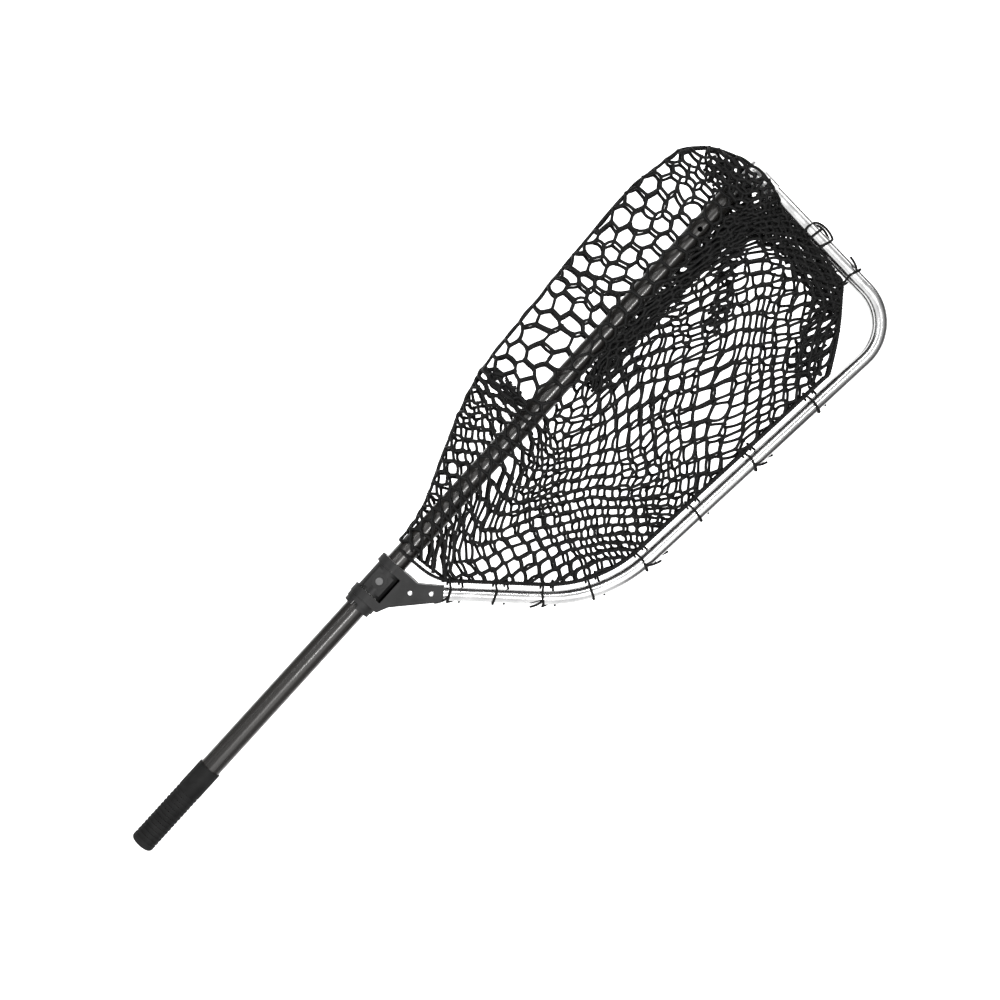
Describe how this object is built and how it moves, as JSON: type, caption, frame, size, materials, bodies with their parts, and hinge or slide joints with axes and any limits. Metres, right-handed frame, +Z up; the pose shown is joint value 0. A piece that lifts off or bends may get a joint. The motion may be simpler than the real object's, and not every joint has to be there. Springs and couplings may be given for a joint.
{
  "type": "landing net",
  "caption": "Folding landing net: a bright tube hoop in two halves closes like a book about a black tube handle, which slides up inside the net; moulded yoke with a lock button, far hinge, ribbed grip and net bag",
  "frame": {"origin": "on the handle's axis, in the middle of the grip's smooth band", "axes": "+Z runs up the handle from grip to hoop; the folded hoop lies to +X; the front half faces -Y"},
  "size_m": [0.3332, 0.052, 1.0476],
  "materials": {
    "black_tube": "gloss black anodised",
    "grip_rubber": "ribbed soft rubber",
    "plug_plastic": "moulded",
    "stainless": "plain turned",
    "spring_wire": "drawn wire",
    "yoke_plastic": "charcoal moulded",
    "cast_aluminium": "cast, bright",
    "bushing_acetal": "natural acetal",
    "button_plastic": "moulded",
    "bright_tube": "clear anodised",
    "rivet_aluminium": "bright",
    "black_cord": "braided nylon",
    "net_cord": "knotted nylon net"
  },
  "bodies": {
    "handle": {"handle_tube": "black_tube", "grip_sleeve": "grip_rubber", "butt_plug": "plug_plastic", "handle_end_cap": "plug_plastic", "stud_carrier": "plug_plastic", "stud_spring": "spring_wire"},
    "hoop_rear": {"rear_yoke": "yoke_plastic", "upper_bushing": "bushing_acetal", "lower_bushing": "bushing_acetal", "key_collar": "yoke_plastic", "collar_pins": "stainless", "button_spring": "spring_wire", "rear_hoop_tube": "bright_tube", "rear_arm_rivets": "rivet_aluminium", "rear_hinge_eye": "cast_aluminium", "rear_eye_rivet": "rivet_aluminium", "rear_selvedge": "black_cord", "rear_lashing": "black_cord", "rear_net": "net_cord", "far_hinge_pin": "stainless"},
    "hoop_front": {"front_yoke": "yoke_plastic", "front_hoop_tube": "bright_tube", "front_arm_rivets": "rivet_aluminium", "front_hinge_eye": "cast_aluminium", "front_eye_rivet": "rivet_aluminium", "front_selvedge": "black_cord", "front_lashing": "black_cord", "front_net": "net_cord"},
    "button": {"lock_button": "button_plastic"},
    "stud": {"lock_stud": "stainless"}
  },
  "joints": [
    {"name": "hoop_slide", "type": "slide", "parent": "handle", "child": "hoop_rear", "axis": [0, 0, 1], "range_m": [0, 0.54]},
    {"name": "hoop_fold", "type": "hinge", "parent": "hoop_rear", "child": "hoop_front", "pos_m": [0, 0, 0.306], "axis": [0, 0, -1], "range_deg": [0, 180], "deforming": ["front_net", "rear_net", "front_selvedge", "rear_selvedge"]},
    {"name": "button_press", "type": "slide", "parent": "hoop_rear", "child": "button", "axis": [0, 1, 0], "range_m": [0, 0.002], "stiffness_N_per_m": 400, "deforming": ["button_spring"]},
    {"name": "stud_press", "type": "slide", "parent": "handle", "child": "stud", "axis": [0, 1, 0], "range_m": [0, 0.002], "deforming": ["stud_spring"]}
  ],
  "couplings": [
    {"joint": "stud_press", "follows": "button_press", "ratio": 1}
  ]
}
